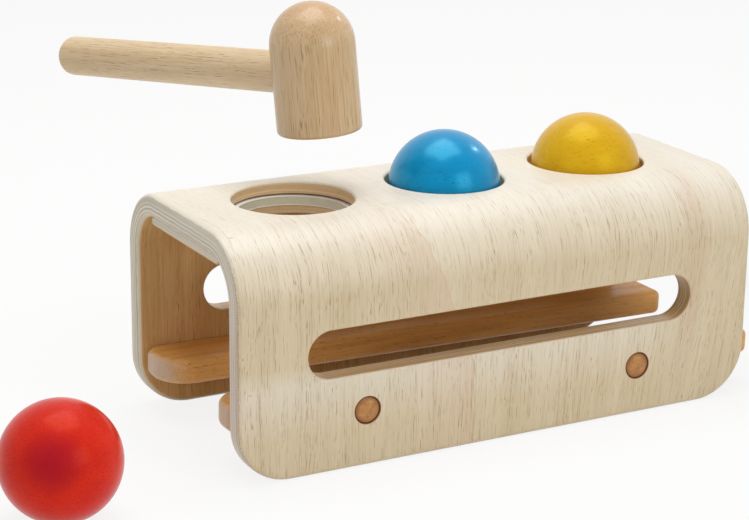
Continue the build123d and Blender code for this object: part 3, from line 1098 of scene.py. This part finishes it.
def make_rings(settings):
    """The rubber rings: one with its own bore, and two stretched to a cone by a ball."""
    sizes, bench = settings.ring, settings.bench
    low = bench.height - bench.thickness
    half = sizes.height / 2
    material = moulded_rubber("natural_rubber_moulded", settings.colours.rubber, low + half, half, sizes.lip)
    outer = sizes.outer_diameter / 2
    for name, side in HOLE_SIDES.items():
        if name == "left":
            bore_low = bore_high = sizes.bore / 2
        else:
            _, ball_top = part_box("blue_ball")
            radius = settings.ball.diameter / 2
            depth = ball_top.z - radius - low - half
            slope = depth / math.sqrt(radius**2 - depth**2)
            bore_low = sizes.stretched_bore / 2 - slope * half
            bore_high = sizes.stretched_bore / 2 + slope * half
        r = sizes.rounding
        high = low + sizes.height
        hollow_low = bore_low + sizes.hollow
        hollow_high = bore_high + sizes.hollow
        profile = arc((outer - r, low + r), r, -90, 0) + arc((outer - r, high - r), r, 0, 90)
        profile += arc((bore_high + r, high - r), r, 90, 180)
        lip = sizes.lip + sizes.hollow
        profile += [(hollow_high, high - lip), (hollow_low, low + lip)]
        profile += arc((bore_low + r, low + r), r, 180, 270)
        place = Matrix.Translation((side * bench.hole_spacing, 0, 0))
        piece = new_turned_piece(f"{name}_rubber_ring", profile, place, closed=True)
        finish_piece(piece, material, "bench", [f"{name}_grip_ring"], sharp_degrees=30)


def make_rails(settings):
    """The two rails, each with a big round nose at the left and holes for its pegs' shanks."""
    sizes, bench = settings.rail, settings.bench
    wall = bench.width / 2 - bench.thickness
    width = wall - sizes.gap / 2
    left = -bench.length / 2 + sizes.left_inset
    right = bench.length / 2 + sizes.right_reach
    shifts = {"front": sizes.stagger, "back": 0.0}
    radii = [sizes.nose_radius, sizes.corner_radius, sizes.corner_radius, sizes.heel_radius]
    tilt = Matrix.Rotation(math.atan2(sizes.peg_fall, sizes.peg_spacing), 4, "Y")
    material = solid_wood("rail_rubberwood_planed", settings.colours, "rail")
    for name, side in (("front", -1), ("back", 1)):

        def plan(inset, shift=shifts[name]):
            return rounded_outline((left + shift, 0), (right + shift, width), radii, inset)

        bm = bmesh.new()
        add_plate(bm, plan, both_faces(rounding(sizes.rounding), sizes.height))
        lift = Matrix.Translation((0, 0, sizes.height / 2))
        mirrored = Matrix.Diagonal((1, side, 1, 1))
        place = Matrix.Translation((0, side * sizes.gap / 2, sizes.middle)) @ tilt @ mirrored @ lift
        piece = new_piece(f"{name}_hardwood_rail", bm, place)
        bm = bmesh.new()
        reach = sizes.shank_length + sizes.fit_gap
        radius = sizes.shank_diameter / 2 + sizes.fit_gap
        for x, height in peg_places(sizes):
            shank = [(0, -reach), (radius, -reach), (radius, OVERRUN), (0, OVERRUN)]
            turn = Matrix.Rotation(-side * QUARTER_TURN, 4, "X")
            into = Matrix.Translation((x, side * wall, height)) @ turn
            bmesh.ops.transform(bm, matrix=into, verts=add_turned(bm, shank, steps=SHANK_HOLE_STEPS))
        cut(piece, new_piece("shank_cutters", bm))
        keep_grain(piece, place, (1, 0, 0), shift=side * RAIL_WOOD_SHIFT)
        finish_piece(piece, material, "bench", [f"{name}_rail"])


def peg_tree():
    """Geometry nodes that set one turned peg in each of the four holes, two in each wall."""
    inputs = {"Geometry": "Geometry", "Spacing": 0.0, "Fall": 0.0, "Left height": 0.0, "Wall face": 0.0}
    inputs["Material"] = "Material"
    tree, add = new_group("set_pegs", "GeometryNodeTree", inputs, {"Geometry": "Geometry"})
    given = add("NodeGroupInput")
    left = add("Math MULTIPLY", given["Spacing"], -0.5)
    down = add("Math MULTIPLY", given["Fall"], -1.0)
    step = add("CombineXYZ", given["Spacing"], 0.0, down)
    rows = []
    for side in (-1.0, 1.0):
        face = add("Math MULTIPLY", given["Wall face"], side)
        first = add("CombineXYZ", left, face, given["Left height"])
        ends = {"Count": 2, "Start Location": first, "Offset": step}
        line = add("GeometryNodeMeshLine", inputs=ends, mode="OFFSET", count_mode="TOTAL")
        turn = (-side * QUARTER_TURN, 0.0, 0.0)
        placed = {"Points": line, "Instance": given["Geometry"], "Rotation": turn}
        rows.append(add("GeometryNodeInstanceOnPoints", inputs=placed))
    both = add("GeometryNodeJoinGeometry", rows[1])
    tree.links.new(rows[0], both.node.inputs[0])

    # Each peg has a number, which moves its place in the wood so that no two show the same figure
    number = add("GeometryNodeInputIndex")
    stored = {"Geometry": both, "Name": "peg_number", "Value": number}
    numbered = add("GeometryNodeStoreNamedAttribute", inputs=stored, data_type="FLOAT", domain="INSTANCE")
    real = add("GeometryNodeRealizeInstances", numbered)
    number = add("GeometryNodeInputNamedAttribute", "peg_number", data_type="FLOAT")[0]
    grain = add("GeometryNodeInputNamedAttribute", "grain", data_type="FLOAT_VECTOR")[0]
    apart = add("CombineXYZ", number, number, number)
    grain = add("VectorMath MULTIPLY_ADD", apart, (0.031, 0.017, 0.023), grain)
    stored = {"Geometry": real, "Name": "grain", "Value": grain}
    own = add("GeometryNodeStoreNamedAttribute", inputs=stored, data_type="FLOAT_VECTOR", domain="POINT")
    give_material(add, own, given["Material"])
    return tree


# Where the browned rim of a peg starts and is full, in widths of its groove from the peg's side
BURNT_RIM_GROOVES = (5.5, 0.8)


def make_pegs(settings):
    """Four turned pegs with domed ends."""
    sizes, bench = settings.rail, settings.bench
    radius = sizes.peg_diameter / 2
    rim = bench.thickness - sizes.peg_recess
    dome = radius - sizes.peg_groove
    crown_radius = (dome**2 + sizes.peg_crown**2) / (2 * sizes.peg_crown)
    spread = math.degrees(math.asin(dome / crown_radius))
    crown = arc((0, rim + sizes.peg_crown - crown_radius), crown_radius, 90 - spread, 90)
    shank = sizes.shank_diameter / 2
    profile = [(0, -sizes.shank_length), (shank, -sizes.shank_length), (shank, 0), (radius, 0)]
    profile += [(radius, rim - 2 * sizes.peg_groove)] + crown
    piece = new_turned_piece("turned_pegs", profile, steps=PEG_STEPS)
    keep_grain(piece, Matrix.Identity(4), (0, 0, 1))
    away = [vertex.co.to_2d().length for vertex in piece.data.vertices]
    store(piece, "from_axis", "FLOAT", away)
    burnt = [radius - grooves * sizes.peg_groove for grooves in BURNT_RIM_GROOVES]
    material = solid_wood("peg_rubberwood_turned", settings.colours, "peg", burnt)
    (_, left_height), _ = peg_places(sizes)
    values = {
        "Spacing": sizes.peg_spacing,
        "Fall": sizes.peg_fall,
        "Left height": left_height,
        "Wall face": bench.width / 2 - bench.thickness,
        "Material": material,
    }
    run_tree(piece, peg_tree(), values)
    nodes = [f"{side}_{end}_peg" for side in ("front", "back") for end in ("left", "right")]
    finish_piece(piece, material, "bench", nodes)


# Which way each ball's grain points from its middle
BALL_GRAINS = {"blue": (0.88, -0.46, 0.05), "yellow": (0.90, -0.40, 0.18), "red": (-0.44, -0.82, 0.36)}


def make_balls(settings):
    """The three stained balls. The red one's end grain faces the view, and the others lie across it."""
    sizes = settings.ball
    radius = sizes.diameter / 2
    pole = math.degrees(math.asin(sizes.pole_flat / sizes.diameter))
    for number, name in enumerate(BALL_NAMES):
        low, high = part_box(f"{name}_ball")
        way = Vector(BALL_GRAINS[name]).normalized()
        turn = Vector((0, 0, 1)).rotation_difference(way).to_matrix().to_4x4()
        place = Matrix.Translation((low + high) / 2) @ turn
        face = radius * math.cos(math.radians(pole))
        side = arc((0, 0), radius, -90 + pole, 90 - pole, steps=TURNED_STEPS // 2)
        piece = new_turned_piece(f"{name}_turned_ball", [(0, -face), *side, (0, face)], place)
        keep_grain(piece, place, (0, 0, 1), shift=BALL_WOOD_SHIFT + NEXT_BALL_SHIFT * number)
        material = solid_wood(f"{name}_stained_rubberwood", settings.colours, name)
        finish_piece(piece, material, f"{name}_ball", [f"{name}_ball"])


def mallet_place(sizes):
    """Where the mallet is held: local Z runs up its head and local X along its handle."""
    upward = Vector((-math.sin(sizes.lean_left), math.sin(sizes.lean_back), 1)).normalized()
    backward = upward.cross(Vector((0, 1, 0)).cross(upward)).normalized()
    leftward = upward.cross(backward)
    way = leftward * math.cos(sizes.turn) + backward * math.sin(sizes.turn)
    turn = Matrix((way, upward.cross(way), upward)).transposed().to_4x4()
    return Matrix.Translation((sizes.x, sizes.y, sizes.z)) @ turn


def make_mallet(settings):
    """The mallet's turned head with its half-round top, and its tapered handle."""
    sizes = settings.mallet
    place = mallet_place(sizes)
    radius = sizes.head_diameter / 2
    shoulder = sizes.head_length - radius
    along = place @ Matrix.Translation((0, 0, sizes.handle_height)) @ Matrix.Rotation(QUARTER_TURN, 4, "Y")
    profile = [(0, 0), *arc((radius - sizes.head_rim, sizes.head_rim), sizes.head_rim, -90, 0)]
    profile += [(radius, shoulder * share) for share in QUARTERS]
    profile += arc((0, shoulder), radius, 0, 90, steps=DOME_STEPS)
    head = new_turned_piece("mallet_turned_head", profile, place)
    hole = sizes.handle_diameter / 2 + sizes.glue_gap
    inner = -sizes.seat_depth - sizes.glue_gap
    outer = radius + OVERRUN
    profile = [(0, inner), (hole, inner), (hole, outer), (0, outer)]
    cut(head, new_turned_piece("handle_cutter", profile, along))
    keep_grain(head, place, (0, 0, 1), shift=HEAD_WOOD_SHIFT)
    material = solid_wood("mallet_head_rubberwood_turned", settings.colours, "head")
    finish_piece(head, material, "mallet", ["mallet_head"])

    thick, thin, tip = sizes.handle_diameter / 2, sizes.tip_diameter / 2, sizes.tip_rounding
    profile = [(0, -sizes.seat_depth), (thick, -sizes.seat_depth), (thick, radius)]
    for share in QUARTERS:
        reach = radius + (sizes.handle_reach - radius) * share
        profile.append((thick + (thin - thick) * share, reach))
    profile += arc((thin - tip, sizes.handle_reach - tip), tip, 0, 90) + [(0, sizes.handle_reach)]
    handle = new_turned_piece("mallet_turned_handle", profile, along)
    keep_grain(handle, along, (0, 0, 1), shift=HANDLE_WOOD_SHIFT)
    material = solid_wood("mallet_handle_rubberwood_turned", settings.colours, "handle")
    finish_piece(handle, material, "mallet", ["mallet_handle"])


# Stage

# Lamps, each with its place and its side in metres and its power in watts, and what they point at
LAMPS = (
    ("top_softbox", (-0.02, 0.1, 1.2), 0.9, 9.0),
    ("front_softbox", (0.35, -1.42, 0.62), 0.8, 4.9),
    ("sparkle_lamp", (1.22, 0.3, 1.0), 0.09, 1.4),
)
LAMP_TARGET = (0, 0, 60 * MM)
SOFT_LIGHT = 0.42
FLOOR_GLOW = 0.85
FLOOR_HALF_SIDE = 6.0
FLOOR_DROP = 0.1 * MM
CARD_HALF_SIDE = 0.16
CARD_PLACE = (0.23, 0.06, 0.10)
CARD_BLACK = (0.01, 0.01, 0.01, 1.0)


def make_camera(view):
    """The camera at the photograph's viewpoint. Its sensor is as wide as the photograph's frame."""
    sin_a, cos_a = math.sin(view.azimuth), math.cos(view.azimuth)
    sin_e, cos_e = math.sin(view.elevation), math.cos(view.elevation)
    ahead = Vector((sin_a * cos_e, cos_a * cos_e, -sin_e))
    level = Vector((cos_a, -sin_a, 0))
    upright = level.cross(ahead)
    right = level * math.cos(view.roll) + upright * math.sin(view.roll)
    up = upright * math.cos(view.roll) - level * math.sin(view.roll)
    data = bpy.data.cameras.new("photo_camera")
    data.sensor_width = SENSOR_WIDTH_MM
    data.lens = view.focal_px * SENSOR_WIDTH_MM / IMAGE_WIDTH
    data.clip_start = CLIP_NEAR
    data.clip_end = CLIP_FAR
    camera = bpy.data.objects.new("photo_camera", data)
    turn = Matrix((right, up, -ahead)).transposed().to_4x4()
    target = Vector((view.target_x, 0, view.target_z))
    camera.matrix_world = Matrix.Translation(target - ahead * view.distance) @ turn
    bpy.context.scene.collection.objects.link(camera)
    bpy.context.scene.camera = camera


def add_softbox(name, place, size, power):
    """A square softbox that points from its place to the bench's middle."""
    data = bpy.data.lights.new(name, "AREA")
    data.shape = "SQUARE"
    data.size = size
    data.energy = power
    lamp = bpy.data.objects.new(name, data)
    towards = Vector(LAMP_TARGET) - Vector(place)
    lamp.matrix_world = Matrix.Translation(place) @ towards.to_track_quat("-Z", "Y").to_matrix().to_4x4()
    bpy.context.scene.collection.objects.link(lamp)


def make_world():
    """A white studio: plain soft light all round, and pure white behind the object."""
    world = bpy.data.worlds.new("white_studio")
    world.use_nodes = True
    world.node_tree.nodes.clear()
    add = partial(add_node, world.node_tree)
    plain = add("Background", WHITE, SOFT_LIGHT)
    white = add("Background", WHITE, 1.0)
    add("OutputWorld", add("MixShader", add_looked_at(add), plain, white))
    bpy.context.scene.world = world


def add_looked_at(add):
    """1 for a ray of the view, straight or by way of gloss or glass, and 0 for a ray that gathers light."""
    path = add("LightPath")
    looked_at = path["Is Camera Ray"]
    for ray in ("Is Glossy Ray", "Is Transmission Ray"):
        looked_at = add("Math MAXIMUM", looked_at, path[ray])
    return looked_at


def new_sheet(name, size, place):
    """A flat square stage piece. Size is half its side."""
    bm = bmesh.new()
    bmesh.ops.create_grid(bm, x_segments=1, y_segments=1, size=size)
    return new_piece(name, bm, place)


def make_floor(colour):
    """A pale studio floor. The camera sees it nearly white, and the object's shadow stays on it."""
    floor = new_sheet("studio_floor", FLOOR_HALF_SIDE, Matrix.Translation((0, 0, -FLOOR_DROP)))
    material, add = new_material("pale_floor")
    share = add("Math MULTIPLY", add_looked_at(add), FLOOR_GLOW)
    matt = add("BsdfDiffuse", colour)
    add("OutputMaterial", add("MixShader", share, matt, add("Emission", WHITE, 1.0)))
    floor.data.materials.append(material)


def make_dark_card():
    """A black card beside the right end, outside the picture, that keeps light out of the bench's inside."""
    upright = Matrix.Rotation(QUARTER_TURN, 4, "Y")
    card = new_sheet("dark_card", CARD_HALF_SIDE, Matrix.Translation(CARD_PLACE) @ upright)
    material, add = new_material("black_card")
    add("OutputMaterial", add("BsdfDiffuse", CARD_BLACK))
    card.data.materials.append(material)
    card.visible_camera = False
    card.visible_glossy = False


def make_stage(settings):
    """Camera, white studio, floor, dark card and lamps."""
    scene = bpy.context.scene
    scene.view_settings.view_transform = "Standard"
    make_camera(settings.view)
    make_world()
    make_floor(settings.colours.floor)
    make_dark_card()
    for lamp in LAMPS:
        add_softbox(*lamp)


# Add-on


class PieceOperator:
    """What the operators share: they run one maker with the scene's settings."""

    bl_options = {"REGISTER", "UNDO"}

    def execute(self, context):
        self.make(context.scene.pounding_bench)
        return {"FINISHED"}


class POUNDING_BENCH_OT_stage(PieceOperator, bpy.types.Operator):
    """Add the camera, floor and soft studio light"""

    bl_idname = "pounding_bench.stage"
    bl_label = "Studio stage"
    make = staticmethod(make_stage)


class POUNDING_BENCH_OT_bench(PieceOperator, bpy.types.Operator):
    """Add the bent plywood bench with its slots and holes"""

    bl_idname = "pounding_bench.bench"
    bl_label = "Bent plywood bench"
    make = staticmethod(make_bench)


class POUNDING_BENCH_OT_retainer(PieceOperator, bpy.types.Operator):
    """Add the board that closes the ring pockets"""

    bl_idname = "pounding_bench.retainer"
    bl_label = "Retainer board"
    make = staticmethod(make_retainer)


class POUNDING_BENCH_OT_rings(PieceOperator, bpy.types.Operator):
    """Add the three rubber rings"""

    bl_idname = "pounding_bench.rings"
    bl_label = "Rubber rings"
    make = staticmethod(make_rings)


class POUNDING_BENCH_OT_rails(PieceOperator, bpy.types.Operator):
    """Add the two hardwood rails"""

    bl_idname = "pounding_bench.rails"
    bl_label = "Rails"
    make = staticmethod(make_rails)


class POUNDING_BENCH_OT_pegs(PieceOperator, bpy.types.Operator):
    """Add the four turned pegs"""

    bl_idname = "pounding_bench.pegs"
    bl_label = "Pegs"
    make = staticmethod(make_pegs)


class POUNDING_BENCH_OT_balls(PieceOperator, bpy.types.Operator):
    """Add the blue, yellow and red balls"""

    bl_idname = "pounding_bench.balls"
    bl_label = "Stained balls"
    make = staticmethod(make_balls)


class POUNDING_BENCH_OT_mallet(PieceOperator, bpy.types.Operator):
    """Add the mallet's head and handle"""

    bl_idname = "pounding_bench.mallet"
    bl_label = "Mallet"
    make = staticmethod(make_mallet)


OPERATORS = (
    POUNDING_BENCH_OT_stage,
    POUNDING_BENCH_OT_bench,
    POUNDING_BENCH_OT_retainer,
    POUNDING_BENCH_OT_rings,
    POUNDING_BENCH_OT_rails,
    POUNDING_BENCH_OT_pegs,
    POUNDING_BENCH_OT_balls,
    POUNDING_BENCH_OT_mallet,
)


class POUNDING_BENCH_PT_panel(bpy.types.Panel):
    """The bench's pieces and sizes"""

    bl_idname = "POUNDING_BENCH_PT_panel"
    bl_label = "Ball pounding bench"
    bl_space_type = "VIEW_3D"
    bl_region_type = "UI"
    bl_category = "Pounding bench"

    def draw(self, context):
        layout = self.layout
        for operator in OPERATORS:
            layout.operator(operator.bl_idname)
        settings = context.scene.pounding_bench
        for label in PoundingBenchSettings.__annotations__:
            box = layout.box()
            box.label(text=label.capitalize())
            group = getattr(settings, label)
            for name in group.__annotations__:
                box.prop(group, name)


CLASSES = (
    BenchSizes,
    RetainerSizes,
    RingSizes,
    RailSizes,
    BallSizes,
    MalletSizes,
    WoodColours,
    ViewSettings,
    PoundingBenchSettings,
    *OPERATORS,
    POUNDING_BENCH_PT_panel,
)


def register():
    for each in CLASSES:
        bpy.utils.register_class(each)
    bpy.types.Scene.pounding_bench = PointerProperty(type=PoundingBenchSettings)


def unregister():
    del bpy.types.Scene.pounding_bench
    for each in reversed(CLASSES):
        bpy.utils.unregister_class(each)


def main():
    """Makes the stage and every piece."""
    register()
    for operator in OPERATORS:
        getattr(bpy.ops.pounding_bench, operator.bl_idname.split(".")[1])()


if __name__ == "__main__":
    main()
